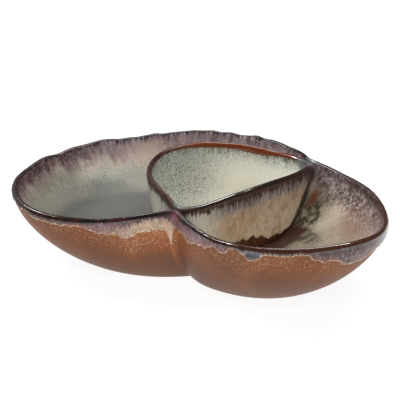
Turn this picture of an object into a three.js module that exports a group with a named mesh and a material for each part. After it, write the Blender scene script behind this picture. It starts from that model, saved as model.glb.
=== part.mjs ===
// A hand-formed stoneware plate in two overlapping lobes, with a lift-out dip bowl standing between them.
// Millimetres, +Z up. The foot stands on Z = 0, and the middle of the plate's outline is the origin.
// Plan sizes are given from the hub, the point that the plate's wall draws in to on its way to the foot.
import * as THREE from "three";

// Plate: two egg-shaped lobes whose union is the rim
const leftLobe = {
  x: -51.3,
  y: 19.2,
  halfLength: 130.5,
  halfWidth: 90.4,
  turn: 44, // degrees from +X
  taper: 0.08, // how much wider the far end is
  fullness: 2.17, // 2 is an ellipse, and more is squarer
};
const rightLobe = {
  x: 48.3,
  y: 8.4,
  halfLength: 119.4,
  halfWidth: 83.9,
  turn: -33,
  taper: -0.01,
  fullness: 2.04,
};
const plateHeight = 67; // foot to the mean rim
const plateWall = 5.5; // clay at the rim
const plateFloor = 13; // foot to the clay floor
const footLength = 150; // of the foot's outline, along X
const floorLength = 150; // of the flat floor's outline, along X
const footRing = 9; // width of the ring that the plate stands on
const footRecess = 2.5; // depth of the hollow inside that ring
const lipHeight = 3; // of the rounded edge of either rim
const outerCurve = 1.63; // fullness of the wall's outer profile
const innerCurve = 1.6; // fullness of the wall's inner profile
const creaseFillet = 3; // blend of the lobes outside, where they meet
const ridgeFillet = 10; // the same blend inside

// Rim waves left by the hand, each a number of waves round the rim, a height and the angle of a crest
const rimWaves = [
  { waves: 2, lift: 1.5, crest: -46 },
  { waves: 3, lift: 0.5, crest: 42 },
  { waves: 4, lift: 2.2, crest: -16.5 },
  { waves: 5, lift: 1.6, crest: -23.5 },
  { waves: 7, lift: 0.6, crest: 10 },
];

// Dip bowl: an egg cut by one long, nearly straight side
const dipRimWaves = [{ waves: 3, lift: 0.5, crest: 20 }];
const dipEgg = { x: 0.4, y: 24.7, halfLength: 78, halfWidth: 64, turn: 99, taper: 0.48, fullness: 2.1 };
const dipSide = { distance: 22.6, facing: -29, radius: 420 };
const dipCentre = { x: -6, y: 22 };
const dipRise = 1.5; // of its rim above the plate's
const dipWall = 4.5;
const dipFloor = 7; // thickness of its floor
const dipDraft = 11; // how far its wall draws in, rim to foot
const dipCurve = 1.5; // fullness of its wall's profile
const dipCorner = 16; // radius between its inner wall and floor
const tipFillet = 7; // blend of its faces at its two tips
const innerTipFillet = 24; // the same blend inside
const holdFillet = 4; // blend into the rake that keeps its tips off the plate's wall
const dipPlay = 0.8; // clearance to the plate's glaze
const restGap = 0.3; // between faces that rest on each other

// Glaze: a fired coat over the inside, the rim and a dripping band outside
const glazeThickness = 0.9;
const glazeGap = 0.3; // to the clay under it
const plateBand = 14; // mean depth of the band below the plate's rim
const dipBand = 46; // the same below the dip bowl's rim
const plateDrips = [
  { waves: 3, depth: 2.2, crest: -100 },
  { waves: 8, depth: 1.8, crest: -12 },
  { waves: 13, depth: 1.5, crest: -52 },
];
const dipDrips = [
  { waves: 4, depth: 2.0, crest: -40 },
  { waves: 9, depth: 1.6, crest: 10 },
];
const creaseDrip = { depth: 10, spread: 5 }; // the run of glaze down the front crease, spread in degrees

// Facets round each piece
const plateFacets = 72;
const dipFacets = 60;

const clay = { color: 0x93583a, roughness: 0.7, metalness: 0 };
const celadonGlaze = { color: 0xa7a698, roughness: 0.18, metalness: 0 };

const coatBuild = glazeGap + glazeThickness;
const fullTurn = 2 * Math.PI;
const radians = THREE.MathUtils.degToRad;

// Plan shapes

function insideEgg(egg, inset, x, y) {
  const turn = radians(egg.turn);
  const dx = x - egg.x;
  const dy = y - egg.y;
  const along = (dx * Math.cos(turn) + dy * Math.sin(turn)) / (egg.halfLength - inset);
  const halfWidth = (egg.halfWidth - inset) * (1 + egg.taper * along);
  const across = (dy * Math.cos(turn) - dx * Math.sin(turn)) / halfWidth;
  return Math.abs(along) ** egg.fullness + Math.abs(across) ** egg.fullness < 1;
}

function insideSide(side, inset, x, y) {
  const away = side.distance - side.radius;
  const cx = away * Math.cos(radians(side.facing));
  const cy = away * Math.sin(radians(side.facing));
  return Math.hypot(x - cx, y - cy) < side.radius - inset;
}

// Distance from a centre to the edge of a shape, along a direction
function reach(centre, angle, inside) {
  const bisections = 40;
  let near = 0;
  let far = 2 * (leftLobe.halfLength + rightLobe.halfLength);
  for (let i = 0; i < bisections; i++) {
    const middle = (near + far) / 2;
    if (inside(centre.x + middle * Math.cos(angle), centre.y + middle * Math.sin(angle))) near = middle;
    else far = middle;
  }
  return near;
}

function softMax(a, b, blend) {
  const overlap = Math.max(blend - Math.abs(a - b), 0) / blend;
  return Math.max(a, b) + (overlap * overlap * blend) / 4;
}

function softMin(a, b, blend) {
  return -softMax(-a, -b, blend);
}

function waveSum(waves, size, angle) {
  return waves.reduce((sum, w) => sum + w[size] * Math.cos(w.waves * (angle - radians(w.crest))), 0);
}

const hub = { x: 0, y: 0 };
const frontArc = { left: -130, right: -50 }; // degrees, the front as seen from the hub

function lobesReach(angle, inset, fillet) {
  const left = reach(hub, angle, (x, y) => insideEgg(leftLobe, inset, x, y));
  const right = reach(hub, angle, (x, y) => insideEgg(rightLobe, inset, x, y));
  return softMax(left, right, fillet);
}

// The angle at the front where two shapes reach equally far, the first being longer to its left
function frontMeeting(centre, insideFirst, insideSecond) {
  const bisections = 30;
  let onFirst = radians(frontArc.left);
  let onSecond = radians(frontArc.right);
  for (let i = 0; i < bisections; i++) {
    const angle = (onFirst + onSecond) / 2;
    if (reach(centre, angle, insideFirst) > reach(centre, angle, insideSecond)) onFirst = angle;
    else onSecond = angle;
  }
  return (onFirst + onSecond) / 2;
}

const creaseAngle = frontMeeting(
  hub,
  (x, y) => insideEgg(leftLobe, 0, x, y),
  (x, y) => insideEgg(rightLobe, 0, x, y),
);
const frontTipAngle = frontMeeting(
  dipCentre,
  (x, y) => insideSide(dipSide, 0, x, y),
  (x, y) => insideEgg(dipEgg, 0, x, y),
);

function anglesFrom(start, count) {
  return Array.from({ length: count }, (_, i) => start + (fullTurn * i) / count);
}

const plateAngles = anglesFrom(creaseAngle, plateFacets);
const dipAngles = anglesFrom(frontTipAngle, dipFacets);

function lengthAlongX(inset, fillet) {
  const xs = plateAngles.map((angle) => lobesReach(angle, inset, fillet) * Math.cos(angle));
  return Math.max(...xs) - Math.min(...xs);
}

// Profiles

// Share of the way in from rim to foot that a full, rounded wall has gone at a height share of 0 to 1
function drawnIn(height, curve) {
  const down = Math.min(Math.max(1 - height, 0), 1);
  return 1 - (1 - down ** curve) ** (1 / curve);
}

const footScale = footLength / lengthAlongX(0, creaseFillet);
const floorScale = floorLength / lengthAlongX(plateWall, ridgeFillet);

function plateRimTop(angle) {
  return plateHeight + waveSum(rimWaves, "lift", angle);
}

function plateOuter(angle, z) {
  const share = z / (plateRimTop(angle) - lipHeight);
  const scale = 1 - (1 - footScale) * drawnIn(share, outerCurve);
  return lobesReach(angle, 0, creaseFillet) * scale;
}

function plateInner(angle, z) {
  const share = (z - plateFloor) / (plateRimTop(angle) - lipHeight - plateFloor);
  const scale = 1 - (1 - floorScale) * drawnIn(share, innerCurve);
  return lobesReach(angle, plateWall, ridgeFillet) * scale;
}

// Depth of the plate's glaze below its rim, with the longer run in the crease
function plateGlazeDepth(angle) {
  const fromCrease = Math.atan2(Math.sin(angle - creaseAngle), Math.cos(angle - creaseAngle));
  const run = creaseDrip.depth * Math.exp(-((fromCrease / radians(creaseDrip.spread)) ** 2));
  return plateBand + waveSum(plateDrips, "depth", angle) + run;
}

// The dip bowl's outline, held clear of the plate's glazed wall at every height
const dipFootLevel = plateFloor + coatBuild + restGap;
const dipHold = 2 * coatBuild + dipPlay;

function dipRimTop(angle) {
  return plateHeight + dipRise + waveSum(dipRimWaves, "lift", angle);
}

function plateHold(angle, z) {
  return reach(dipCentre, angle, (x, y) => {
    return Math.hypot(x, y) < plateInner(Math.atan2(y, x), z - dipHold) - dipHold;
  });
}

function dipFace(angle, z, inset, fillet) {
  const share = (z - dipFootLevel) / (dipRimTop(angle) - lipHeight - dipFootLevel);
  const drawn = inset + dipDraft * drawnIn(share, dipCurve);
  const egg = reach(dipCentre, angle, (x, y) => insideEgg(dipEgg, drawn, x, y));
  const side = reach(dipCentre, angle, (x, y) => insideSide(dipSide, drawn, x, y));
  return softMin(softMin(egg, side, fillet), plateHold(angle, z) - inset, holdFillet);
}

function dipOuter(angle, z) {
  return dipFace(angle, z, 0, tipFillet);
}

function dipInner(angle, z) {
  const corner = Math.max(1 - (z - dipFootLevel - dipFloor) / dipCorner, 0);
  const cornerInset = dipCorner * (1 - Math.sqrt(1 - corner * corner));
  return dipFace(angle, z, dipWall + cornerInset, innerTipFillet);
}

function dipGlazeDepth(angle) {
  return dipBand + waveSum(dipDrips, "depth", angle);
}

// Rings of points round a centre, one for each step along a section

function ring(centre, angles, radius, height) {
  return angles.map((angle) => {
    const r = radius(angle);
    return new THREE.Vector3(centre.x + r * Math.cos(angle), centre.y + r * Math.sin(angle), height(angle));
  });
}

// A rounded lip from the outer to the inner face of a rim
function lipRings(centre, angles, outer, inner, rimTop) {
  const steps = [Math.PI / 4, Math.PI / 2, (3 * Math.PI) / 4];
  return steps.map((step) => {
    const inward = (1 - Math.cos(step)) / 2;
    const radius = (angle) => {
      const base = rimTop(angle) - lipHeight;
      return THREE.MathUtils.lerp(outer(angle, base), inner(angle, base), inward);
    };
    return ring(centre, angles, radius, (angle) => rimTop(angle) - lipHeight * (1 - Math.sin(step)));
  });
}

// The clay section of a vessel: foot, outer wall, lip, inner wall and floor
function claySection(vessel) {
  const { centre, angles, outer, inner, rimTop, foot, floor, glazeDepth } = vessel;
  const under = [0.1, 0.3, 0.6]; // heights below the glaze edge, as shares
  const band = [0, 0.35, 0.7, 1]; // heights from the glaze edge up to the lip, as shares
  const down = [1, 0.8, 0.5, 0.25, 0.08, 0]; // heights from the lip down to the floor, as shares
  const middle = 0.5; // of the way out across the floor
  const lipBase = (angle) => rimTop(angle) - lipHeight;
  const edge = (angle) => rimTop(angle) - glazeDepth(angle);
  const outerRing = (height) => ring(centre, angles, (angle) => outer(angle, height(angle)), height);
  const innerRing = (height) => ring(centre, angles, (angle) => inner(angle, height(angle)), height);
  const bare = [
    ring(centre, angles, (angle) => outer(angle, foot) - footRing, () => foot + footRecess),
    ring(centre, angles, (angle) => outer(angle, foot) - footRing, () => foot),
    outerRing(() => foot),
    ...under.map((share) => outerRing((angle) => THREE.MathUtils.lerp(foot, edge(angle), share))),
  ];
  const glazed = [
    ...band.map((share) => outerRing((angle) => THREE.MathUtils.lerp(edge(angle), lipBase(angle), share))),
    ...lipRings(centre, angles, outer, inner, rimTop),
    ...down.map((share) => innerRing((angle) => THREE.MathUtils.lerp(floor, lipBase(angle), share))),
    ring(centre, angles, (angle) => inner(angle, floor) * middle, () => floor),
  ];
  const underPole = new THREE.Vector3(centre.x, centre.y, foot + footRecess);
  const floorPole = new THREE.Vector3(centre.x, centre.y, floor);
  return { bare, glazed, underPole, floorPole };
}

// A closed surface through rings, each quad split on its shorter diagonal, with a fan to a pole at each end
function loft(startPole, rings, endPole) {
  const count = rings[0].length;
  const points = [startPole, ...rings.flat(), endPole];
  const endIndex = points.length - 1;
  const at = (row, i) => 1 + row * count + (i % count);
  const faces = [];
  for (let i = 0; i < count; i++) {
    faces.push(0, at(0, i + 1), at(0, i));
    faces.push(at(rings.length - 1, i), at(rings.length - 1, i + 1), endIndex);
  }
  for (let row = 0; row + 1 < rings.length; row++) {
    for (let i = 0; i < count; i++) {
      const [a, b, c, d] = [at(row, i), at(row, i + 1), at(row + 1, i + 1), at(row + 1, i)];
      const splitFromA = points[a].distanceTo(points[c]) < points[b].distanceTo(points[d]);
      faces.push(...(splitFromA ? [a, b, c, a, c, d] : [a, b, d, b, c, d]));
    }
  }
  const geometry = new THREE.BufferGeometry().setFromPoints(points);
  geometry.setIndex(faces);
  geometry.computeVertexNormals();
  return geometry;
}

function clayBody(section) {
  return loft(section.underPole, [...section.bare, ...section.glazed], section.floorPole);
}

// The coat has an under face that follows the clay and an upper face a coat's thickness above it
function glazeCoat(section, body) {
  const normals = body.getAttribute("normal");
  const firstGlazed = 1 + section.bare.flat().length; // the pole under the foot is point 0
  const lifted = (build) =>
    section.glazed.map((points, row) =>
      points.map((point, i) => {
        const index = firstGlazed + row * points.length + i;
        const outward = new THREE.Vector3().fromBufferAttribute(normals, index);
        return point.clone().addScaledVector(outward, build);
      }),
    );
  const liftedPole = (build) => section.floorPole.clone().setZ(section.floorPole.z + build);
  return loft(
    liftedPole(glazeGap),
    [...lifted(glazeGap).reverse(), ...lifted(coatBuild)],
    liftedPole(coatBuild),
  );
}

function piece(name, geometry, finish) {
  const mesh = new THREE.Mesh(geometry, new THREE.MeshStandardMaterial(finish));
  mesh.name = name;
  return mesh;
}

const plate = claySection({
  centre: hub,
  angles: plateAngles,
  outer: plateOuter,
  inner: plateInner,
  rimTop: plateRimTop,
  foot: 0,
  floor: plateFloor,
  glazeDepth: plateGlazeDepth,
});

const dipBowl = claySection({
  centre: dipCentre,
  angles: dipAngles,
  outer: dipOuter,
  inner: dipInner,
  rimTop: dipRimTop,
  foot: dipFootLevel,
  floor: dipFootLevel + dipFloor,
  glazeDepth: dipGlazeDepth,
});

const plateBody = clayBody(plate);
const dipBowlBody = clayBody(dipBowl);

const assembly = new THREE.Group();
assembly.add(
  piece("plate_body", plateBody, clay),
  piece("plate_glaze", glazeCoat(plate, plateBody), celadonGlaze),
  piece("dip_bowl_body", dipBowlBody, clay),
  piece("dip_bowl_glaze", glazeCoat(dipBowl, dipBowlBody), celadonGlaze),
);
const middle = new THREE.Box3().setFromObject(assembly).getCenter(new THREE.Vector3());
assembly.position.set(-middle.x, -middle.y, 0);

const root = new THREE.Group();
root.add(assembly);
export default root;
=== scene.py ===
# A two-lobed stoneware plate with a dip bowl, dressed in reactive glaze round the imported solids.
# Shapes are worked out in millimetres from the plate's hub, then set in the row frame in metres.
import bpy
import math
import numpy as np
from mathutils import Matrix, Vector


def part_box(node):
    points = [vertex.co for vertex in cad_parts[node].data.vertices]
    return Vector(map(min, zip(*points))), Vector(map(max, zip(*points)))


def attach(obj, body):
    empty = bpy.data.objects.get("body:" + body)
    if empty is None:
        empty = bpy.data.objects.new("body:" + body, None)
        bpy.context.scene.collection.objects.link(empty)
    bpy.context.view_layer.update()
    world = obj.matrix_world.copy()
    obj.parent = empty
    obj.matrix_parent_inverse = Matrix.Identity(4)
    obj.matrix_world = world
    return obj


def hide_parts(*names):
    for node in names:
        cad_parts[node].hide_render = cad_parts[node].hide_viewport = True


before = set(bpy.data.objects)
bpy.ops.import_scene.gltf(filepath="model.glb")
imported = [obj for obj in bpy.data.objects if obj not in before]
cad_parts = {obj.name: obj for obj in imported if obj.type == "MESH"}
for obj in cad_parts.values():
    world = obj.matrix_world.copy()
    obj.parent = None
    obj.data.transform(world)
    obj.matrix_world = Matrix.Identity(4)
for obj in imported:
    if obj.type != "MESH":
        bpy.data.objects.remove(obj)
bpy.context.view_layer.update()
scene = bpy.context.scene
mm = 0.001
print("stage: frame loaded")

# Plan shapes, the lobes as in the solids and the dip bowl refitted by a few millimetres
leftLobe = dict(x=-51.3, y=19.2, halfLength=130.5, halfWidth=90.4, turn=44, taper=0.08, fullness=2.17)
rightLobe = dict(x=48.3, y=8.4, halfLength=119.4, halfWidth=83.9, turn=-33, taper=-0.01, fullness=2.04)
dipEgg = dict(x=6.8, y=20.8, halfLength=85.4, halfWidth=69.3, turn=99, taper=0.61, fullness=1.74)
dipSide = dict(distance=26.1, facing=-29, radius=535)
hub = dict(x=0, y=0)
farthest = 500  # beyond every shape, from any centre
halvings = 40  # steps that find an edge


def insideEgg(egg, inset, x, y):
    turn = math.radians(egg["turn"])
    dx, dy = x - egg["x"], y - egg["y"]
    along = (dx * math.cos(turn) + dy * math.sin(turn)) / (egg["halfLength"] - inset)
    halfWidth = (egg["halfWidth"] - inset) * (1 + egg["taper"] * along)
    across = (dy * math.cos(turn) - dx * math.sin(turn)) / halfWidth
    return np.abs(along) ** egg["fullness"] + np.abs(across) ** egg["fullness"] < 1


def insideSide(side, inset, x, y):
    away = side["distance"] - side["radius"]
    facing = math.radians(side["facing"])
    return np.hypot(x - away * math.cos(facing), y - away * math.sin(facing)) < side["radius"] - inset


def reach(centre, angle, inside):  # distance to a shape's edge along each angle, by halving
    low, high = np.zeros_like(angle), np.full_like(angle, farthest)
    for _ in range(halvings):
        middle = (low + high) / 2
        within = inside(centre["x"] + middle * np.cos(angle), centre["y"] + middle * np.sin(angle))
        low, high = np.where(within, middle, low), np.where(within, high, middle)
    return low


def softMax(a, b, blend):
    overlap = np.maximum(blend - np.abs(a - b), 0) / blend
    return np.maximum(a, b) + overlap ** 2 * blend / 4


def softMin(a, b, blend):
    return -softMax(-a, -b, blend)


def waveSum(waves, angle):  # each wave is a count round the rim, a size and the angle of a crest
    return sum(size * np.cos(count * (angle - math.radians(crest))) for count, size, crest in waves)


def ripple(angle, low, high, size, seed):  # smooth seeded noise round a rim, of standard deviation size
    rng = np.random.default_rng(seed)
    total = np.zeros_like(angle)
    for count in range(low, high + 1):
        total += rng.normal() * np.cos(count * angle + rng.uniform(0, 2 * math.pi))
    return size * total / math.sqrt((high - low + 1) / 2)


def turnFrom(angle, degrees):  # signed turn from a direction to each angle
    away = angle - math.radians(degrees)
    return np.degrees(np.arctan2(np.sin(away), np.cos(away)))


def bump(value, centre, spread):
    return np.exp(-((value - centre) / spread) ** 2)


def near(angle, degrees, spread):
    return bump(turnFrom(angle, degrees), 0, spread)


def bumps(angle, places):  # each place is in degrees, with a size and a spread in degrees
    return sum(size * near(angle, degrees, spread) for degrees, size, spread in places)


# Plate, its walls and the glaze over them
plate = dict(
    height=67, wall=3.6, floor=13, footLength=150, floorLength=150, footRing=9, footRecess=2.5,
    lip=3, outerCurve=1.63, innerCurve=1.6, creaseFillet=3, ridgeFillet=10, facets=560,
    rimWaves=[(2, 1.5, -46), (3, 0.5, 42), (4, 2.2, -16.5), (5, 1.6, -23.5), (7, 0.6, 10)],
    rimRipple=(12, 30, 1, 21), evenPinch=0.1, pinches=[(130, 0.45, 60)],  # uneven most at the back
    lifts=[  # where the rim stands higher or lower: degrees from the hub, height and spread
        (-23, 2.1, 13), (24, 6.2, 17), (95.5, 2.3, 2.6), (102.8, -1.9, 2.8), (113, 2, 3),
        (135.4, 1.4, 2.4), (142.4, -1.3, 2.4), (173.6, -2.1, 4),
    ],
    fuller=[(13, -0.27, 24), (-73, 0.19, 16), (-165, -0.06, 25)],  # rounder or straighter wall
    band=3.7, leastBand=3.7, ragged=[(20, 60, 0.8, 3), (61, 170, 0.5, 4)],
    drips=[  # where glaze ran lower: degrees from the hub, extra depth and spread
        (-137, 3.5, 8), (-124, 3, 4), (-115.5, 13, 8.5), (-102, 10.5, 7), (-97, 9, 2.4),
        (-97.4, 9, 1.1), (-90, 11, 6), (-79.5, 13, 5.5), (-69, 8, 6.5), (-59, 4, 2.5),
        (-48.7, 9, 2.7), (-26, 7, 8), (-17.5, 11, 6), (-7, 6, 6), (15, 6, 10), (60, 8, 20),
        (110, 5, 15), (150, 7, 14), (178, 4, 12),
    ],
    coat=0.95, edgeRound=1.3, bead=0.3, runs=0.05,
    speckled=(0.1, [(-108, 1, 15), (-48, 0.2, 24)]),  # clay speckles: everywhere, and more at places
    warmth=(0.2, [(-98, 0.8, 18)]),
    bareRows=56, bandRows=22, wallRows=52, floorRows=18,
)
fineAngles = np.linspace(-math.pi, math.pi, 4097)
lobeTables = {}


def lobesReach(angle, inset, fillet):  # read from a fine table, made once for each inset
    if inset not in lobeTables:
        left = reach(hub, fineAngles, lambda x, y: insideEgg(leftLobe, inset, x, y))
        right = reach(hub, fineAngles, lambda x, y: insideEgg(rightLobe, inset, x, y))
        lobeTables[inset] = softMax(left, right, fillet)
    return np.interp(np.arctan2(np.sin(angle), np.cos(angle)), fineAngles, lobeTables[inset])


def lengthAlongX(inset, fillet):
    xs = lobesReach(fineAngles, inset, fillet) * np.cos(fineAngles)
    return xs.max() - xs.min()


def drawnIn(height, curve):  # share of the way in from rim to foot, for a full, rounded wall
    down = np.clip(1 - height, 0, 1)
    return 1 - (1 - down ** curve) ** (1 / curve)


footScale = plate["footLength"] / lengthAlongX(0, plate["creaseFillet"])
floorScale = plate["floorLength"] / lengthAlongX(plate["wall"], plate["ridgeFillet"])


def plateRimTop(angle):
    return plate["height"] + waveSum(plate["rimWaves"], angle)


def wallCurve(angle, curve):
    return curve + bumps(angle, plate["fuller"])


def plateOuter(angle, z):
    share = z / (plateRimTop(angle) - plate["lip"])
    scale = 1 - (1 - footScale) * drawnIn(share, wallCurve(angle, plate["outerCurve"]))
    return lobesReach(angle, 0, plate["creaseFillet"]) * scale


def plateInner(angle, z):
    share = (z - plate["floor"]) / (plateRimTop(angle) - plate["lip"] - plate["floor"])
    scale = 1 - (1 - floorScale) * drawnIn(share, wallCurve(angle, plate["innerCurve"]))
    return lobesReach(angle, plate["wall"], plate["ridgeFillet"]) * scale


def raggedEdge(angle, parts):  # each part: lowest and highest count, size, seed
    return sum(ripple(angle, *part) for part in parts)


def plateGlazeDepth(angle):
    depth = plate["band"] + bumps(angle, plate["drips"])
    return np.maximum(depth + raggedEdge(angle, plate["ragged"]), plate["leastBand"])


# Dip bowl, held clear of the plate's glazed wall at every height
dipBowl = dict(
    centre=dict(x=-6, y=22), rise=2, wall=3.2, floorBuild=6, draft=10, sideDraft=1, curve=1.2,
    corner=18, tipFillet=26, innerTipFillet=34, holdFillet=4, play=0.8, restGap=0.3, lip=3,
    footRing=9, footRecess=2.5, facets=440,
    rimWaves=[(1, 1.3, 53), (2, 1.5, -36), (3, 0.9, 6), (4, 0.5, 36)], rimRipple=(5, 14, 0.12, 22),
    band=46, bandWaves=[(4, 1.2, -40), (9, 1.2, 10)], drips=[(14, 5, 22), (-34, -4.5, 17)],
    ragged=[(14, 40, 0.7, 7), (41, 110, 0.25, 8)],
    coat=0.95, edgeRound=1.3, bead=0.3, runs=0.04,
    speckled=(0.08, []), warmth=(0.1, []),
    bareRows=26, bandRows=40, wallRows=46, floorRows=12,
)
coatBuild = 1.0  # room for the glaze and its gap to the clay
dipFoot = plate["floor"] + coatBuild + dipBowl["restGap"]
dipHold = 2 * coatBuild + dipBowl["play"]


def dipRimTop(angle):
    return plate["height"] + dipBowl["rise"] + waveSum(dipBowl["rimWaves"], angle)


def plateHold(angle, z):
    def clear(x, y):
        return np.hypot(x, y) < plateInner(np.arctan2(y, x), z - dipHold) - dipHold
    return reach(dipBowl["centre"], angle, clear)


def dipFace(angle, z, inset, fillet):
    share = (z - dipFoot) / (dipRimTop(angle) - dipBowl["lip"] - dipFoot)
    drawn = drawnIn(share, dipBowl["curve"])
    eggInset, sideInset = inset + dipBowl["draft"] * drawn, inset + dipBowl["sideDraft"] * drawn
    egg = reach(dipBowl["centre"], angle, lambda x, y: insideEgg(dipEgg, eggInset, x, y))
    side = reach(dipBowl["centre"], angle, lambda x, y: insideSide(dipSide, sideInset, x, y))
    return softMin(softMin(egg, side, fillet), plateHold(angle, z) - inset, dipBowl["holdFillet"])


def dipOuter(angle, z):
    return dipFace(angle, z, 0, dipBowl["tipFillet"])


def dipInner(angle, z):
    corner = np.clip(1 - (z - dipFoot - dipBowl["floorBuild"]) / dipBowl["corner"], 0, 1)
    cornerInset = dipBowl["corner"] * (1 - np.sqrt(1 - corner ** 2))
    return dipFace(angle, z, dipBowl["wall"] + cornerInset, dipBowl["innerTipFillet"])


def dipGlazeDepth(angle):
    depth = dipBowl["band"] + waveSum(dipBowl["bandWaves"], angle) + bumps(angle, dipBowl["drips"])
    return depth + raggedEdge(angle, dipBowl["ragged"])


# Sections of a vessel as rows of points, each row once round
def ringOf(vessel, radius, height):
    angle = vessel["angles"]
    x = vessel["centre"]["x"] + radius * np.cos(angle)
    y = vessel["centre"]["y"] + radius * np.sin(angle)
    return np.stack([x, y, np.broadcast_to(height, angle.shape)], -1)


def poleOf(vessel, height):
    return np.array([vessel["centre"]["x"], vessel["centre"]["y"], height])


def lerp(a, b, share):
    return a + (b - a) * share


def wallRows(vessel, face, heights):
    return [ringOf(vessel, face(vessel["angles"], height), height) for height in heights]


def lipRows(vessel, steps):
    base = vessel["rimTop"] - vessel["lip"]
    outer, inner = vessel["outer"](vessel["angles"], base), vessel["inner"](vessel["angles"], base)
    rows = []
    for step in np.linspace(0, math.pi, steps + 2)[1:-1]:
        radius = lerp(outer, inner, (1 - math.cos(step)) / 2)
        rows.append(ringOf(vessel, radius, base + vessel["lip"] * math.sin(step)))
    return rows


floorEnd = 0.97  # the last row of a floor, as a share of the way to its middle


def coveredRows(vessel, shares, lipSteps, wallSteps, floorSteps):  # glaze edge, lip, inside wall, floor
    base = vessel["rimTop"] - vessel["lip"]
    edge = vessel["rimTop"] - vessel["glazeDepth"]
    rows = wallRows(vessel, vessel["outer"], [lerp(edge, base, share) for share in shares])
    rows += lipRows(vessel, lipSteps)
    crest = len(shares) + lipSteps // 2
    downs = np.sin(np.linspace(0, math.pi / 2, wallSteps)) ** vessel["spacing"]
    rows += wallRows(vessel, vessel["inner"], [lerp(base, vessel["floor"], down) for down in downs])
    middle = poleOf(vessel, vessel["floor"])
    rows += [lerp(rows[-1], middle, share) for share in np.linspace(0, floorEnd, floorSteps + 1)[1:]]
    return np.array(rows), middle, crest


ringSteps = [(-1.2, 1, 0), (-0.5, 0.6, 0), (0, 0, 0.4), (0.6, 0, 0)]  # out, share of the recess, up
footSteps = [(-2.0, 0), (-0.6, 0.12)]  # out and up, at the foot's outer edge
firstRise = 0.6  # from the foot's plane to the wall's first row
crowding = 1.35  # above one, the wall's rows stand closer near the foot


def bareRows(vessel, steps):  # recess, foot ring and outer wall up to just under the glaze edge
    foot, angle, recess = vessel["foot"], vessel["angles"], vessel["footRecess"]
    footEdge = vessel["outer"](angle, np.full_like(angle, foot))
    ringEdge = footEdge - vessel["footRing"]
    rows = [ringOf(vessel, ringEdge / 2, foot + recess)]
    for out, share, up in ringSteps:
        rows.append(ringOf(vessel, ringEdge + out, foot + recess * share + up))
    for out, up in footSteps:
        rows.append(ringOf(vessel, footEdge + out, foot + up))
    edge = vessel["rimTop"] - vessel["glazeDepth"]
    rises = np.linspace(0, 1, steps) ** crowding
    return rows + wallRows(vessel, vessel["outer"], [lerp(foot + firstRise, edge, rise) for rise in rises])


def normalsOf(rows):
    around = np.roll(rows, -1, axis=1) - np.roll(rows, 1, axis=1)
    along = np.gradient(rows, axis=0)
    normal = np.cross(around, along)
    return normal / np.maximum(np.linalg.norm(normal, axis=-1, keepdims=True), 1e-9)


def pieceMesh(name, rows, startPole, endPole, attributes):
    count = rows.shape[1]
    points = np.concatenate([startPole[None], rows.reshape(-1, 3), endPole[None]])
    points = (points + hubPlace) * mm
    at = 1 + np.arange(rows.shape[0] * count).reshape(rows.shape[0], count)
    nextAt = np.roll(at, -1, axis=1)
    quads = np.stack([at[:-1], nextAt[:-1], nextAt[1:], at[1:]], -1).reshape(-1, 4)
    last = len(points) - 1
    fans = [(0, b, a) for a, b in zip(at[0], nextAt[0])]
    fans += [(a, b, last) for a, b in zip(at[-1], nextAt[-1])]
    mesh = bpy.data.meshes.new(name)
    mesh.from_pydata(points.tolist(), [], quads.tolist() + [tuple(map(int, fan)) for fan in fans])
    mesh.shade_smooth()
    for key, values in attributes.items():
        vector = values.ndim == 3
        between = values.reshape(-1, *values.shape[2:])
        ends = np.concatenate([values[:1].mean(1), between, values[-1:].mean(1)])
        layer = mesh.attributes.new(key, "FLOAT_VECTOR" if vector else "FLOAT", "POINT")
        layer.data.foreach_set("vector" if vector else "value", ends.astype(np.float32).ravel())
    mesh.validate()
    piece = bpy.data.objects.new(name, mesh)
    scene.collection.objects.link(piece)
    return piece


def flowOf(rows, crest):  # position round the rim as a circle, and the signed distance from the crest
    steps = np.linalg.norm(np.diff(rows, axis=0), axis=-1)
    along = np.concatenate([np.zeros((1, rows.shape[1])), np.cumsum(steps, axis=0)])
    along = along - along[crest]
    rim = rows[crest]
    arcs = np.linalg.norm(np.roll(rim, -1, axis=0) - rim, axis=-1)
    turn = 2 * math.pi * np.concatenate([[0], np.cumsum(arcs)[:-1]]) / arcs.sum()
    radius = arcs.sum() / (2 * math.pi)
    circle = np.stack([radius * np.cos(turn), radius * np.sin(turn)], -1)
    circle = np.broadcast_to(circle, (*along.shape, 2))
    return np.concatenate([circle, along[..., None]], -1)


def shareRound(vessel, key):
    everywhere, places = vessel[key]
    return np.clip(everywhere + bumps(vessel["angles"], places), 0, 1)


hiddenShares = np.linspace(0.12, 1, 5)  # the clay's few rows under the outer band of glaze
hiddenSteps = dict(lipSteps=5, wallSteps=14, floorSteps=4)


def buildClay(name, vessel):  # bare rows, and plainer ones where the glaze hides the clay
    clayRows = bareRows(vessel, vessel["bareRows"])
    hiddenRows, middle, _ = coveredRows(vessel, hiddenShares, **hiddenSteps)
    bare = vessel["rimTop"] - vessel["glazeDepth"] - np.array(clayRows)[..., 2]
    below = np.concatenate([np.maximum(bare, 0), np.zeros(hiddenRows.shape[:2])])
    tints = dict(belowGlaze=below)
    for key in ("speckled", "warmth"):
        tints[key] = np.broadcast_to(shareRound(vessel, key), below.shape)
    underPole = poleOf(vessel, vessel["foot"] + vessel["footRecess"])
    return pieceMesh(name + "Clay", np.concatenate([clayRows, hiddenRows]), underPole, middle, tints)


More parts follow.
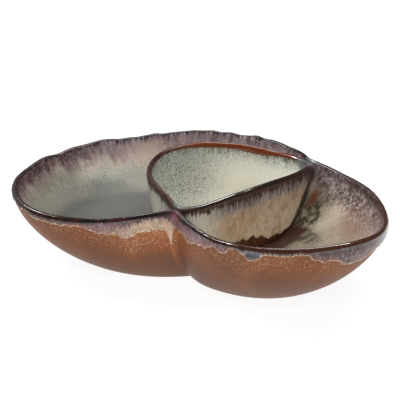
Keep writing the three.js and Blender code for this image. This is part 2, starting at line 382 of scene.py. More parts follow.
edgeShares = [0, 0.006, 0.02, 0.045, 0.08, 0.12]  # rows close together where the glaze ends
runCounts = (17, 29, 43, 61, 83, 97)  # runs of thicker glaze round a rim
coatShape = dict(
    edge=0.12, beadAt=2.6, beadSpread=1.8,  # share of the thickness left at the edge, and the bead above it
    runsAt=12, runsSpread=30, slant=0.03,  # depth where the runs are thickest, and how they lean
    crestThinning=0.3, crestSpread=2.5,
)
coatLip = 9  # rows over the lip
underRows = 22  # rows of the coat's hidden side
underGap = 0.1  # from the clay to that side


def coatBuildUp(vessel, flow, fromEdge):  # thickness, rounded off at the edge, with a bead and runs
    rounding = np.sqrt(1 - (1 - np.clip(fromEdge / vessel["edgeRound"], 0, 1)) ** 2)
    build = vessel["coat"] * lerp(coatShape["edge"], 1, rounding)
    bead = bump(fromEdge, coatShape["beadAt"], coatShape["beadSpread"]) * rounding
    depth, angle = flow[..., 2], vessel["angles"][None]
    runs = sum(
        math.cos(k) * np.cos(n * angle + k + depth * coatShape["slant"] * math.sin(3 * k))
        for k, n in enumerate(runCounts)
    )
    fade = np.clip(1 - np.abs(depth - coatShape["runsAt"]) / coatShape["runsSpread"], 0, 1) * rounding
    thinned = 1 - coatShape["crestThinning"] * bump(depth, 0, coatShape["crestSpread"])
    return (build + vessel["bead"] * bead + vessel["runs"] * runs * fade) * thinned


def buildCoat(name, vessel):
    shares = np.concatenate([edgeShares, np.linspace(0.17, 1, vessel["bandRows"])])
    rows, middle, crest = coveredRows(vessel, shares, coatLip, vessel["wallRows"], vessel["floorRows"])
    normals, flow = normalsOf(rows), flowOf(rows, crest)
    fromEdge = flow[..., 2] - flow[0, :, 2]
    top = rows + normals * coatBuildUp(vessel, flow, fromEdge)[..., None]
    thinned = np.linspace(0, len(rows) - 1, underRows).round().astype(int)[::-1]
    under = (rows + normals * underGap)[thinned]
    coatFlow = np.concatenate([flow[thinned], flow])
    attributes = dict(flow=coatFlow, fromEdge=np.concatenate([fromEdge[thinned], fromEdge]))
    attributes.update(vessel["zones"](coatFlow, np.concatenate([rows[thinned], rows])))
    lowPole, highPole = middle + np.array([0, 0, underGap]), middle + np.array([0, 0, vessel["coat"]])
    return pieceMesh(name + "Glaze", np.concatenate([under, top]), lowPole, highPole, attributes)


def rimAngles(count):  # from the front, once round
    return math.radians(-90) + np.linspace(0, 2 * math.pi, count, endpoint=False)


plate.update(
    centre=hub, angles=rimAngles(plate["facets"]), outer=plateOuter, inner=plateInner, foot=0.0,
    spacing=2 / plate["innerCurve"],
)
raised = bumps(plate["angles"], plate["lifts"])
pinched = plate["evenPinch"] + bumps(plate["angles"], plate["pinches"])
plate.update(
    rimTop=plateRimTop(plate["angles"]) + raised + pinched * ripple(plate["angles"], *plate["rimRipple"]),
    glazeDepth=plateGlazeDepth(plate["angles"]) + raised,
)
dipBowl.update(
    angles=rimAngles(dipBowl["facets"]), outer=dipOuter, inner=dipInner, foot=dipFoot,
    floor=dipFoot + dipBowl["floorBuild"], spacing=1.0,
)
dipBowl.update(
    rimTop=dipRimTop(dipBowl["angles"]) + ripple(dipBowl["angles"], *dipBowl["rimRipple"]),
    glazeDepth=dipGlazeDepth(dipBowl["angles"]),
)

# The hub's place in the row frame, from the middle of the plate's clay
cadLow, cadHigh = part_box("plate_body")
outline = lobesReach(plate["angles"], 0, plate["creaseFillet"])
outlineX, outlineY = outline * np.cos(plate["angles"]), outline * np.sin(plate["angles"])
hubPlace = np.array([
    (cadLow[0] + cadHigh[0]) / 2 / mm - (outlineX.min() + outlineX.max()) / 2,
    (cadLow[1] + cadHigh[1]) / 2 / mm - (outlineY.min() + outlineY.max()) / 2,
    0,
])
print("stage: hub at", hubPlace.round(2))


# Node helpers
def add(tree, kind, inputs=None, **settings):
    node = tree.nodes.new(kind)
    for key, value in settings.items():
        setattr(node, key, value)
    for key, value in (inputs or {}).items():
        if isinstance(value, bpy.types.NodeSocket):
            tree.links.new(value, node.inputs[key])
        else:
            node.inputs[key].default_value = value
    return node


def tone(code):  # a colour written as in a paint chart, to the linear values that nodes take
    parts = [int(code[i:i + 2], 16) / 255 for i in (0, 2, 4)]
    linear = [c / 12.92 if c < 0.04045 else ((c + 0.055) / 1.055) ** 2.4 for c in parts]
    return (*linear, 1)


def attribute(tree, name, vector=False):
    node = add(tree, "ShaderNodeAttribute", attribute_name=name)
    return node.outputs["Vector" if vector else "Fac"]


def maths(tree, operation, a, b=0.0):
    return add(tree, "ShaderNodeMath", {0: a, 1: b}, operation=operation).outputs[0]


def noise(tree, vector, size, detail=3, shift=0, roughness=0.5):  # size in the vector's units
    sizes = size if isinstance(size, tuple) else (size, size, size)
    finer = [1 / v for v in sizes]
    scaled = add(tree, "ShaderNodeVectorMath", {0: vector, 1: finer}, operation="MULTIPLY")
    moved = add(tree, "ShaderNodeVectorMath", {0: scaled.outputs[0], 1: (shift, 2 * shift, 3 * shift)})
    settings = {"Vector": moved.outputs[0], "Scale": 1.0, "Detail": detail, "Roughness": roughness}
    return add(tree, "ShaderNodeTexNoise", settings).outputs["Fac"]


def remap(tree, value, low, high, toLow=0.0, toHigh=1.0):
    settings = {"Value": value, "From Min": low, "From Max": high, "To Min": toLow, "To Max": toHigh}
    return add(tree, "ShaderNodeMapRange", settings, interpolation_type="SMOOTHSTEP").outputs["Result"]


def ramp(tree, value, full, stops):  # stops give a value up to full and a colour
    node = add(tree, "ShaderNodeValToRGB", {"Fac": maths(tree, "DIVIDE", value, full)})
    elements = node.color_ramp.elements
    while len(elements) < len(stops):
        elements.new(1.0)
    for element, (place, code) in zip(elements, stops):
        element.position = place / full
        element.color = tone(code)
    return node.outputs["Color"]


def mix(tree, factor, a, b):
    node = add(tree, "ShaderNodeMix", {0: factor, 6: a, 7: b}, data_type="RGBA")
    return node.outputs[2]


def newMaterial(name):
    material = bpy.data.materials.new(name)
    material.use_nodes = True
    material.node_tree.nodes.clear()
    return material, material.node_tree


glassy = {"IOR": 1.5, "Coat IOR": 1.6, "Coat Roughness": 0.06}  # a thicker, brighter skin on the rims
dry = {"Specular IOR Level": 0.3}  # bare clay


def finishSurface(tree, colour, roughness, height=None, bumpSize=0.0, **constants):
    inputs = {"Base Color": colour, "Roughness": roughness, **constants}
    if height is not None:
        relief = add(tree, "ShaderNodeBump", {"Height": height, "Strength": 1.0, "Distance": bumpSize})
        inputs["Normal"] = relief.outputs["Normal"]
    shader = add(tree, "ShaderNodeBsdfPrincipled", inputs)
    add(tree, "ShaderNodeOutputMaterial", {"Surface": shader.outputs[0]})


# Bare clay, with cream speckles that thin out away from the glaze, and painted shade that darkens it
# towards the foot
def clayMaterial(name, shades):
    material, tree = newMaterial(name)
    place = add(tree, "ShaderNodeTexCoord").outputs["Object"]
    below, speckled, warmth = (attribute(tree, key) for key in ("belowGlaze", "speckled", "warmth"))
    cloud = noise(tree, place, 0.03, 3, 1)
    grain = noise(tree, place, 0.0007, 2, 2)
    base = ramp(tree, cloud, 1, list(zip((0.3, 0.5, 0.7), shades)))
    # painted shade and reflection: darker and greyer lower down the wall, towards the foot
    base = mix(tree, remap(tree, below, 12, 44, 0, 0.5), base, tone(shades[3]))
    warm = maths(tree, "MULTIPLY", warmth, remap(tree, below, 34, 0, 0, 0.8))
    base = mix(tree, warm, base, tone("ab5f33"))
    base = mix(tree, remap(tree, grain, 0.4, 0.75, 0, 0.25), base, tone("5f3822"))
    patchy = remap(tree, noise(tree, place, 0.012, 3, 5), 0.25, 0.6, 0.25, 1)
    closeBy = maths(tree, "MULTIPLY", remap(tree, below, -4, 24, 1.0, 0.0), speckled)
    chosenShare = maths(tree, "MULTIPLY", closeBy, patchy)
    speckle = None
    for scale, share in ((950.0, 0.8), (1500.0, 0.9)):
        cells = add(tree, "ShaderNodeTexVoronoi", {"Vector": place, "Scale": scale}, feature="F1")
        dot = remap(tree, cells.outputs["Distance"], 0.28, 0.52, 1, 0)
        chance = add(tree, "ShaderNodeSeparateColor", {0: cells.outputs["Color"]}).outputs[0]
        chosen = maths(tree, "LESS_THAN", chance, maths(tree, "MULTIPLY", chosenShare, share))
        dots = maths(tree, "MULTIPLY", dot, chosen)
        speckle = dots if speckle is None else maths(tree, "MAXIMUM", speckle, dots)
    colour = mix(tree, maths(tree, "MULTIPLY", speckle, 0.7), base, tone("e0b283"))
    height = maths(tree, "ADD", maths(tree, "MULTIPLY", grain, 0.5), speckle)
    rough = remap(tree, grain, 0.3, 0.7, 0.45, 0.6)
    finishSurface(tree, colour, rough, height, 0.00008, **dry)
    return material


# Marks on the glazes, and the strokes that lay them
def spot(angle, depth, atAngle, angleSpread, atDepth, depthSpread):
    return near(angle, atAngle, angleSpread) * bump(depth, atDepth, depthSpread)


def smooth(value, low, high):
    share = np.clip((value - low) / (high - low), 0, 1)
    return share * share * (3 - 2 * share)


def marked(glaze, angle, depth):  # soft spots and stretches of the rim, each held to one
    zones = dict(outside=(depth < 0).astype(float))
    for name, places in glaze["spots"].items():
        total = sum(strength * spot(angle, depth, *place) for strength, *place in places)
        zones[name] = np.clip(total, 0, 1)
    for name, places in glaze["stretches"].items():
        zones[name] = np.clip(bumps(angle, places), 0, 1)
    return zones


def brushes(tree):
    def times(a, b):
        return maths(tree, "MULTIPLY", a, b)

    def stain(base, amount, code):  # lays a colour over another
        return mix(tree, amount, base, tone(code))

    def tint(base, zone, code, field, *limits):  # lays a zone's colour, broken up by a noise
        return stain(base, times(attribute(tree, zone), remap(tree, field, *limits)), code)

    def wavered(value, fields):  # shifts a depth to and fro by noises
        for field, spread in fields:
            value = maths(tree, "ADD", value, remap(tree, field, 0.28, 0.72, spread, -spread))
        return value

    return times, stain, tint, wavered


# Plate glaze, in bands that run down from the rim
plateGlaze = dict(
    spots=dict(  # strength, degrees from the hub and spread, depth from the crest and spread
        salt=[(1, 30, 28, 15, 15)],
        smoke=[(1.2, 35, 9, 18, 8), (1, 44, 4.5, 28, 9), (0.9, 26, 6, 22, 6)],
        moss=[(1, 42, 7.5, 61, 18), (0.8, 47, 5.5, 43, 12), (0.7, 29, 11, 70, 9)],
        ember=[(1, 50.5, 2.4, 30, 9)],
        emberEdge=[(1, 50.5, 4.4, 31, 13)],
        blush=[(1.3, 18, 14, 31, 16)],
        creamSide=[(1, 34, 7, 53, 18)],
        magenta=[(1, -92, 3.2, -5, 4.5)],
        blueDrop=[(1, -48.7, 3.3, -10, 6.5)],
    ),
    stretches=dict(  # degrees from the hub, strength and spread
        dullCrest=[
            (140, 1, 45), (85, 1, 13), (26, 1, 18), (-160, 1, 24), (-95, 1, 12), (-83, 1, 8), (46, 1, 13),
        ],
        veil=[(108, 1, 26), (22, 0.5, 34), (149, 0.95, 14)],
        creamBand=[(-108, 1, 10), (-98, 1, 3)],
        pinkBand=[(-122, 1, 7), (-72, 1, 15)],
        duskBand=[(-24, 1, 8)],
        endBand=[(-2, 1, 10)],
    ),
    drop=[(22, 5, 34), (-172, 5, 22), (108, -1, 26), (145, -4, 9), (166, -4, 9)],  # bands hang lower
    inside=[  # millimetres from the crest, and colour
        (0, "432d2b"), (4, "5f4645"), (8, "7c6262"), (13, "9d8885"), (18, "bfad9f"), (23, "d4c8b7"),
        (31, "bdbbad"), (38, "93958b"), (45, "6f726b"), (64, "64655f"),
    ],
    outside=[
        (0, "2b1716"), (4, "40241f"), (7, "573536"), (10, "6e4c4b"), (14, "87675f"), (20, "ad9484"),
    ],
    crest=("170d0b", "3a1b16"),
)


def plateZones(flow, rows):
    x, y = rows[..., 0], rows[..., 1]
    angle, depth = np.arctan2(y, x), flow[..., 2]
    facing = math.radians(dipSide["facing"])
    beyondDip = x * math.cos(facing) + y * math.sin(facing) - dipSide["distance"]
    leftEnd = smooth(turnFrom(angle, 163), 0, 12) * smooth(turnFrom(angle, -135), 0, -14)
    zones = marked(plateGlaze, angle, depth)
    zones.update(
        drop=bumps(angle, plateGlaze["drop"]),
        pool=smooth(x, -2, -34) * smooth(depth, 52, 61),
        # painted shade: the wall and floor at the far left end of the left well are laid darker
        endWall=leftEnd * smooth(depth, 10, 22) * smooth(depth, 58, 46),
        endFloor=leftEnd * smooth(depth, 42, 54),
        endRim=smooth(turnFrom(angle, 170), 0, 8) * leftEnd * smooth(depth, 20, 8),
        paleSide=near(angle, 139, 17) * smooth(depth, 20, 30) * smooth(depth, 66, 42),
        rosySide=near(angle, 139, 9) * smooth(depth, 3, 9) * smooth(depth, 34, 22),
        # painted shade: the right lobe's end wall is laid darker
        duskSide=near(angle, 7, 20) * smooth(depth, 6, 16),
        darkRim=np.clip(1.4 * near(angle, 16, 22), 0, 1) * smooth(depth, 9, 4),
        # dark brown strip on the floor along the dip bowl's side: thin brown glaze, darkened further as
        # painted shade under the bowl
        footBurn=smooth(beyondDip, 17, 9) * smooth(beyondDip, -14, -6) * smooth(depth, 54, 64),
        creamWell=smooth(x - 0.3 * y, 8, 42) * smooth(depth, 14, 26),
        rimDisc=np.clip(2.6 * spot(angle, depth, 61, 3.0, 1, 4.5) - 0.4, 0, 1),
        rustCrest=np.clip(1.3 * near(angle, -18, 34), 0, 1) * smooth(depth, -4.5, -2.5),
    )
    return zones


def plateGlazeMaterial():
    material, tree = newMaterial("plateGlaze")
    times, stain, tint, wavered = brushes(tree)
    place = add(tree, "ShaderNodeTexCoord").outputs["Object"]
    flow = attribute(tree, "flow", True)
    depth = add(tree, "ShaderNodeSeparateXYZ", {0: flow}).outputs[2]
    runs = noise(tree, flow, (7.5, 7.5, 45), 3, 1, 0.55)
    streak = noise(tree, flow, (1.6, 1.6, 9), 4, 2, 0.65)
    mottle = noise(tree, flow, (4.0, 4.0, 7.0), 5, 3, 0.7)
    fleck = noise(tree, flow, (0.9, 0.9, 2.2), 3, 5, 0.65)
    patches = noise(tree, flow, (7.0, 7.0, 9.0), 4, 8, 0.65)
    blots = noise(tree, place, 0.006, 5, 9, 0.68)
    blotch = noise(tree, place, 0.03, 3, 4)
    grit = noise(tree, place, 0.0028, 4, 7, 0.68)
    away = maths(tree, "ABSOLUTE", depth)

    # Inside, from a dark rim through maroon and cream to grey celadon
    wobble = remap(tree, runs, 0.28, 0.72, 7, -7)
    wobble = times(wavered(wobble, ((streak, 2.2), (mottle, 6))), remap(tree, away, 34, 12, 0.1, 1))
    melt = maths(tree, "SUBTRACT", away, attribute(tree, "drop"))
    melt = wavered(maths(tree, "ADD", melt, wobble), ((blotch, 5),))
    inside = ramp(tree, maths(tree, "MAXIMUM", melt, 0.0), 70, plateGlaze["inside"])
    nearRim = remap(tree, away, 26, 4)
    veiled = times(attribute(tree, "veil"), nearRim)
    inside = stain(inside, times(times(remap(tree, fleck, 0.5, 0.64), nearRim), 0.6), "cfc0c4")
    inside = stain(inside, times(veiled, remap(tree, mottle, 0.38, 0.56, 0.25, 0.9)), "bdaab0")
    inside = stain(inside, times(times(remap(tree, streak, 0.56, 0.68), nearRim), 0.35), "3a282a")
    inside = stain(inside, times(times(remap(tree, patches, 0.53, 0.6), nearRim), 0.6), "6b4549")
    inside = stain(inside, times(times(remap(tree, patches, 0.47, 0.4), nearRim), 0.5), "c0a4a2")
    inside = stain(inside, times(veiled, remap(tree, streak, 0.53, 0.64, 0, 0.65)), "dcd9dc")
    inside = stain(inside, times(veiled, remap(tree, streak, 0.46, 0.36, 0, 0.65)), "4c3f45")
    inside = tint(inside, "creamWell", "cab99f", blots, 0.3, 0.6, 0.85, 0.5)
    inside = tint(inside, "smoke", "65554f", mottle, 0.35, 0.6, 0.55, 0.95)
    inside = stain(inside, times(attribute(tree, "paleSide"), 0.75), "b9b6a8")
    inside = tint(inside, "rosySide", "d9bfb0", mottle, 0.35, 0.6, 0.4, 0.8)
    # painted shade: darker grey laid over the far left end's wall and floor
    inside = tint(inside, "endWall", "7f7b6e", streak, 0.3, 0.65, 0.7, 0.95)
    inside = stain(inside, times(attribute(tree, "endFloor"), 0.75), "4c4d47")
    inside = tint(inside, "endRim", "44302e", mottle, 0.35, 0.6, 0.5, 0.1)
    speckZone = times(remap(tree, away, 16, 28), remap(tree, away, 60, 48))
    specks = remap(tree, noise(tree, place, 0.0013, 2, 6), 0.57, 0.64)
    inside = stain(inside, times(specks, times(speckZone, 0.55)), "3f423b")
    inside = tint(inside, "blush", "937060", streak, 0.3, 0.65, 0.6, 0.95)
    inside = tint(inside, "creamSide", "e3d7bf", streak, 0.3, 0.6, 0.95, 0.65)
    # painted shade darkening the right lobe's end wall
    inside = stain(inside, times(attribute(tree, "duskSide"), 0.27), "3a2a24")
    inside = tint(inside, "salt", "3b2b28", grit, 0.50, 0.41, 0, 0.9)
    inside = tint(inside, "salt", "d8cfcb", grit, 0.53, 0.61, 0, 0.85)
    inside = tint(inside, "darkRim", "341816", streak, 0.35, 0.6, 0.95, 0.65)
    pool = attribute(tree, "pool")
    inside = stain(inside, pool, "5f5e5a")
    fromLine = maths(tree, "ABSOLUTE", maths(tree, "SUBTRACT", pool, 0.45))
    inside = stain(inside, remap(tree, fromLine, 0.0, 0.3, 0.3, 0.0), "53534e")
    moss = attribute(tree, "moss")
    mossy = times(remap(tree, moss, 0.1, 0.6), remap(tree, blots, 0.41, 0.5))
    inside = stain(inside, times(moss, 0.65), "897f62")
    inside = stain(inside, times(mossy, remap(tree, grit, 0.38, 0.52, 0.25, 0.95)), "33331f")
    inside = tint(inside, "emberEdge", "4d4632", mottle, 0.3, 0.6, 0.3, 0.8)
    inside = tint(inside, "ember", "7a3d18", grit, 0.3, 0.55, 0.5, 1)
    # painted shade under the dip bowl, over the thin brown glaze of the floor strip beside it
    inside = tint(inside, "footBurn", "43241a", mottle, 0.35, 0.6, 0.8, 1)

    # Outside, a mottled band with a pale edge
    fromEdge = attribute(tree, "fromEdge")
    band = wavered(away, ((runs, 2.5), (streak, 2.0), (mottle, 3.5)))
    band = maths(tree, "MAXIMUM", band, 0.0)
    outer = ramp(tree, band, 24, plateGlaze["outside"])
    outer = tint(outer, "pinkBand", "9c7078", mottle, 0.38, 0.6, 0.0, 0.7)
    outer = tint(outer, "endBand", "877f80", mottle, 0.35, 0.6, 0.9, 0.4)
    outer = tint(outer, "duskBand", "4d3f41", mottle, 0.35, 0.6, 0.95, 0.4)
    outer = stain(outer, remap(tree, fleck, 0.52, 0.64, 0, 0.5), "c9b4b6")
    outer = stain(outer, remap(tree, grit, 0.47, 0.38, 0, 0.6), "3f2526")
    cream = times(attribute(tree, "creamBand"), remap(tree, band, 5, 11))
    outer = stain(outer, times(cream, remap(tree, grit, 0.3, 0.6, 1, 0.55)), "d9bf9f")
    dropShare = attribute(tree, "blueDrop")
    outer = stain(outer, remap(tree, dropShare, 0.15, 0.35), "8f949a")
    dropHeart = times(remap(tree, dropShare, 0.35, 0.6), remap(tree, grit, 0.4, 0.6, 1, 0.6))
    outer = stain(outer, dropHeart, "33373d")
    ragged = maths(tree, "ADD", fromEdge, remap(tree, fleck, 0.3, 0.7, -1.0, 1.0))
    outer = stain(outer, remap(tree, ragged, 2.2, 0.6, 0, 0.8), "dcc19b")
    thin = times(remap(tree, grit, 0.46, 0.56), remap(tree, fromEdge, 6, 0.5, 0, 0.85))
    outer = stain(outer, thin, "8f5b3a")

    # Crest, and the marks that lie across it
    colour = mix(tree, attribute(tree, "outside"), inside, outer)
    rustCrest = attribute(tree, "rustCrest")
    crest = maths(tree, "ABSOLUTE", maths(tree, "ADD", depth, 1.2))
    crest = maths(tree, "ADD", crest, remap(tree, streak, 0.25, 0.75, -1.5, 1.5))
    crest = maths(tree, "ADD", crest, rustCrest)
    crestColour = mix(tree, remap(tree, runs, 0.42, 0.58), *map(tone, plateGlaze["crest"]))
    crestColour = stain(crestColour, times(rustCrest, 0.9), "4d2512")
    colour = mix(tree, remap(tree, crest, 4.4, 2.4), colour, crestColour)
    colour = tint(colour, "magenta", "9a5065", fleck, 0.35, 0.6, 1, 0.5)
    colour = stain(colour, times(attribute(tree, "rimDisc"), 0.95), "77777b")
    height = maths(tree, "ADD", streak, times(fleck, 0.6))
    height = times(height, remap(tree, away, 40, 20, 0.1, 1))
    dull = attribute(tree, "dullCrest")
    shine = times(remap(tree, away, 6, 3.5), remap(tree, dull, 0, 0.8, 1, 0.15))
    rough = maths(tree, "MAXIMUM", remap(tree, depth, 4, 14, 0.15, 0.55), times(dull, 0.5))
    finishSurface(tree, colour, rough, height, 0.00012, **{"Coat Weight": shine, **glassy})
    return material


# Dip bowl glaze, pale inside and streaked outside
dipGlaze = dict(
    spots=dict(poolEye=[(1, 50, 3.2, 2, 2.8)]),
    stretches=dict(
        redRim=[(-145, 1, 48)],
        dullCrest=[(-150, 1, 46), (-92, 1.2, 16), (130, 1, 16)],
        leftOuter=[(-140, 1, 34)],
        celadonSide=[(-76, 1, 14)],
        peachSide=[(-40, 1, 26)],
    ),
    rustLeast=3.0, rustRuns=[(88, 3.2, 13), (116, 1.8, 13)],
    inside=[
        (0, "4a3a33"), (3, "827f76"), (6, "c6c8be"), (12, "e4e5da"), (24, "eeece0"), (44, "eeead9"),
        (58, "e0dbc8"),
    ],
    outside=[
        (0, "251411"), (4, "3a2120"), (7, "543a3a"), (10, "786a6a"), (14, "9f9590"), (18, "c6b199"),
        (30, "dac3a7"), (48, "e0ceb2"),
    ],
    crest=("190e0c", "42201b"),
)


def dipZones(flow, rows):
    dx, dy = rows[..., 0] - dipBowl["centre"]["x"], rows[..., 1] - dipBowl["centre"]["y"]
    angle, depth = np.arctan2(dy, dx), flow[..., 2]
    seamStart = smooth(turnFrom(angle, 43.3) - 0.3 * depth, -1.4, 0.6)
    zones = marked(dipGlaze, angle, depth)
    zones.update(
        rust=np.clip(1.8 * near(angle, 98, 38), 0, 1) * (depth > -2),
        rustDepth=dipGlaze["rustLeast"] + bumps(angle, dipGlaze["rustRuns"]),
        leftWall=smooth(-0.95 * dx - 0.05 * dy, 4, 48),
        pool=np.clip(2.8 * spot(angle, depth, 50, 7, 1, 7) - 0.4, 0, 1),
        # painted shadow: a dark line on the dip bowl's wall where it stands against the plate's wall
        seam=seamStart * smooth(turnFrom(angle, 75), 0, -10) * smooth(depth, -3, -6),
        frontTip=np.clip(1.5 * near(angle, -92, 7), 0, 1) * smooth(depth, 26, 10),
    )
    return zones


def dipGlazeMaterial():
    material, tree = newMaterial("dipGlaze")
    times, stain, tint, wavered = brushes(tree)
    flow = attribute(tree, "flow", True)
    depth = add(tree, "ShaderNodeSeparateXYZ", {0: flow}).outputs[2]
    leftWall = attribute(tree, "leftWall")
    runs = noise(tree, flow, (4.0, 4.0, 30), 4, 11, 0.6)
    streak = noise(tree, flow, (0.9, 0.9, 8), 4, 12, 0.65)
    mottle = noise(tree, flow, (3.0, 3.0, 5.0), 4, 13, 0.65)
    fleck = noise(tree, flow, (0.8, 0.8, 1.8), 3, 14, 0.65)
    flakes = noise(tree, flow, (1.5, 1.5, 2.4), 3, 15, 0.6)
    clouds = noise(tree, flow, (9.0, 9.0, 12.0), 4, 16, 0.6)
    away = maths(tree, "ABSOLUTE", depth)
    melt = wavered(away, ((runs, 3), (streak, 1.5), (mottle, 2)))
    melt = maths(tree, "MAXIMUM", melt, 0.0)

    # Inside, pale celadon with dark specks, denser at the rim and on the left wall
    inside = ramp(tree, melt, 60, dipGlaze["inside"])
    dense = maths(tree, "MAXIMUM", remap(tree, away, 18, 4), times(leftWall, 0.9))
    inside = stain(inside, times(leftWall, 0.6), "90958f")
    specks = times(remap(tree, fleck, 0.5, 0.6), maths(tree, "ADD", times(dense, 0.7), 0.12))
    inside = stain(inside, specks, "3a3f38")
    inside = stain(inside, times(remap(tree, flakes, 0.56, 0.64), times(dense, 0.75)), "33382f")

    # Outside, streaked from maroon to cream, celadon towards the left
    outer = ramp(tree, melt, 60, dipGlaze["outside"])
    outer = tint(outer, "peachSide", "c09a77", melt, 13, 20, 0, 0.5)
    low = remap(tree, away, 12, 20)
    outer = stain(outer, times(remap(tree, clouds, 0.5, 0.62, 0, 0.5), low), "a5876b")
    outer = stain(outer, times(remap(tree, clouds, 0.46, 0.36, 0, 0.5), low), "d9cdb8")
    threads = times(remap(tree, streak, 0.5, 0.64), remap(tree, away, 8, 18, 0.2, 0.4))
    outer = stain(outer, threads, "7b5733")
    fibreZone = times(remap(tree, away, 6, 9), remap(tree, away, 18, 12))
    fibres = times(remap(tree, streak, 0.47, 0.36), fibreZone)
    outer = stain(outer, times(fibres, 0.6), "b9bcbf")
    # pale celadon outside, laid near white on the shaded left-front wall: partly its own colour, partly
    # painted light
    celadon = maths(tree, "ADD", attribute(tree, "leftOuter"), attribute(tree, "celadonSide"))
    celadon = times(maths(tree, "MINIMUM", celadon, 1.0), remap(tree, melt, 5, 10, 0, 0.9))
    outer = stain(outer, times(celadon, remap(tree, streak, 0.35, 0.62, 1, 0.65)), "eeefe1")
    outer = stain(outer, remap(tree, attribute(tree, "fromEdge"), 2.0, 0.5, 0, 0.6), "d8c6a0")

    # Crest, rust, the pool at the back tip and the painted shadow along the seam beside it
    colour = mix(tree, attribute(tree, "outside"), inside, outer)
    crest = maths(tree, "ADD", away, remap(tree, streak, 0.25, 0.75, -0.9, 0.9))
    crest = maths(tree, "SUBTRACT", crest, times(attribute(tree, "redRim"), 1.7))
    crestColour = mix(tree, remap(tree, mottle, 0.45, 0.62), *map(tone, dipGlaze["crest"]))
    crestColour = tint(crestColour, "redRim", "451d17", mottle, 0.3, 0.6, 0.4, 0.9)
    crestColour = tint(crestColour, "redRim", "8f7570", fleck, 0.5, 0.62, 0, 0.4)
    colour = mix(tree, remap(tree, crest, 3.4, 2.0), colour, crestColour)
    rustEdge = maths(tree, "SUBTRACT", attribute(tree, "rustDepth"), crest)
    colour = tint(colour, "rust", "713108", rustEdge, -0.8, 0.8)
    colour = stain(colour, times(attribute(tree, "pool"), 0.95), "77777b")
    colour = stain(colour, times(attribute(tree, "poolEye"), 0.8), "4a4747")
    # painted shadow of the gap between the dip bowl and the plate's wall
    colour = stain(colour, times(attribute(tree, "seam"), 0.9), "241712")
    colour = tint(colour, "frontTip", "787e75", depth, -4, 0, 0, 0.8)
    height = maths(tree, "ADD", streak, times(fleck, 0.6))
    height = times(height, remap(tree, depth, 20, 8, 0.15, 1))
    dull = attribute(tree, "dullCrest")
    shine = times(remap(tree, away, 6, 3.5), remap(tree, dull, 0, 0.8, 1, 0.15))
    rough = maths(tree, "MAXIMUM", remap(tree, depth, 4, 12, 0.15, 0.55), times(dull, 0.5))
    finishSurface(tree, colour, rough, height, 0.0001, **{"Coat Weight": shine, **glassy})
    return material


plate["zones"], dipBowl["zones"] = plateZones, dipZones
plateClay, plateCoat = buildClay("plate", plate), buildCoat("plate", plate)
dipClay, dipCoat = buildClay("dip", dipBowl), buildCoat("dip", dipBowl)
# each list's fourth shade is the painted-shade tone near the foot
plateClayLook = clayMaterial("plateClay", ("6c4027", "77492d", "835436", "634838"))
# the dip bowl's clay is laid dark brown: partly its own colour, partly painted shade where it sits low in
# the plate under its glazed wall
dipClayLook = clayMaterial("dipClay", ("3f2416", "4a2b1a", "553320", "3a2216"))
for piece, material in (
    (plateClay, plateClayLook), (plateCoat, plateGlazeMaterial()), (dipClay, dipClayLook),
    (dipCoat, dipGlazeMaterial()),
):
    piece.data.materials.append(material)
for piece, body, node, slot in (
    (plateClay, "plate", "plate_body", "bare_stoneware"),
    (plateCoat, "plate", "plate_glaze", "plate_glaze"),
    (dipClay, "dip_bowl", "dip_bowl_body", "bare_stoneware"),
    (dipCoat, "dip_bowl", "dip_bowl_glaze", "dip_bowl_glaze"),
):
    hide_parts(node)
    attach(piece, body)
    print("stage: piece", piece.name, len(piece.data.polygons), "faces")

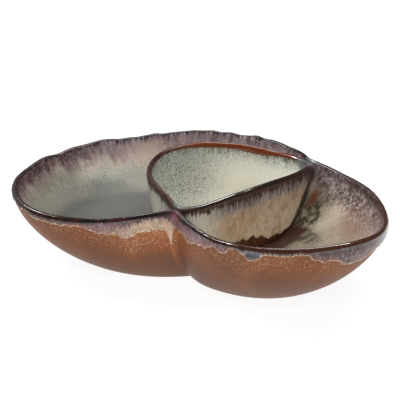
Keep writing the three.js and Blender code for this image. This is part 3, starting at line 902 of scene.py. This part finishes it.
# Floor and light
floorLook = dict(half=4.0, grey=0.22, glow=0.9, roughness=0.9)
half = floorLook["half"]
floorMesh = bpy.data.meshes.new("floor")
corners = [(-half, -half, 0), (half, -half, 0), (half, half, 0), (-half, half, 0)]
floorMesh.from_pydata(corners, [], [(0, 1, 2, 3)])
floor = bpy.data.objects.new("floor", floorMesh)
scene.collection.objects.link(floor)
floorMaterial, floorTree = newMaterial("paleFloor")
glow = {"Emission Color": (1, 1, 1, 1), "Emission Strength": floorLook["glow"]}
finishSurface(floorTree, (*[floorLook["grey"]] * 3, 1), floorLook["roughness"], **glow)
floorMesh.materials.append(floorMaterial)

ambient = 0.09
world = bpy.data.worlds.new("studio")
world.use_nodes = True
sky = world.node_tree.nodes["Background"]
sky.inputs["Color"].default_value = (1, 1, 1, 1)
sky.inputs["Strength"].default_value = ambient
scene.world = world
scene.view_settings.view_transform = "Standard"

aim = Vector((0, 0, 0.04))


def softbox(name, place, width, depth, power):
    light = bpy.data.lights.new(name, "AREA")
    light.shape, light.size, light.size_y, light.energy = "RECTANGLE", width, depth, power
    box = bpy.data.objects.new(name, light)
    box.location = place
    box.rotation_mode = "QUATERNION"
    box.rotation_quaternion = (aim - Vector(place)).to_track_quat("-Z", "Y")
    scene.collection.objects.link(box)
    return box


softbox("overhead", (0.02, 0.5, 1.3), 1.35, 0.2, 13.5)
softbox("left", (-1.1, 0.0, 1.1), 0.4, 0.4, 10)
fill = softbox("front", (0.5, -1.3, 1.1), 1.2, 1.2, 13)
fill.visible_glossy = False  # a fill that leaves no glint on the rims

# Camera at the photograph's angle
camera = dict(azimuth=25, elevation=24, distance=1.19, lens=126, sensor=36, raised=0.0119)
camera.update(aimX=-12.06, aimY=8.46, aimZ=40)  # millimetres from the hub
target = Vector((hubPlace[0] + camera["aimX"], hubPlace[1] + camera["aimY"], camera["aimZ"])) * mm
azimuth, elevation = math.radians(camera["azimuth"]), math.radians(camera["elevation"])
level = math.cos(elevation)
back = Vector((math.sin(azimuth) * level, -math.cos(azimuth) * level, math.sin(elevation)))
side = Vector((math.cos(azimuth), math.sin(azimuth), 0))
eye = target + back * camera["distance"]
lookAt = target + back.cross(side) * camera["raised"]
cameraData = bpy.data.cameras.new("camera")
cameraData.lens, cameraData.sensor_width = camera["lens"], camera["sensor"]
cameraObject = bpy.data.objects.new("camera", cameraData)
cameraObject.location = eye
cameraObject.rotation_mode = "QUATERNION"
cameraObject.rotation_quaternion = (lookAt - eye).to_track_quat("-Z", "Y")
scene.collection.objects.link(cameraObject)
scene.camera = cameraObject
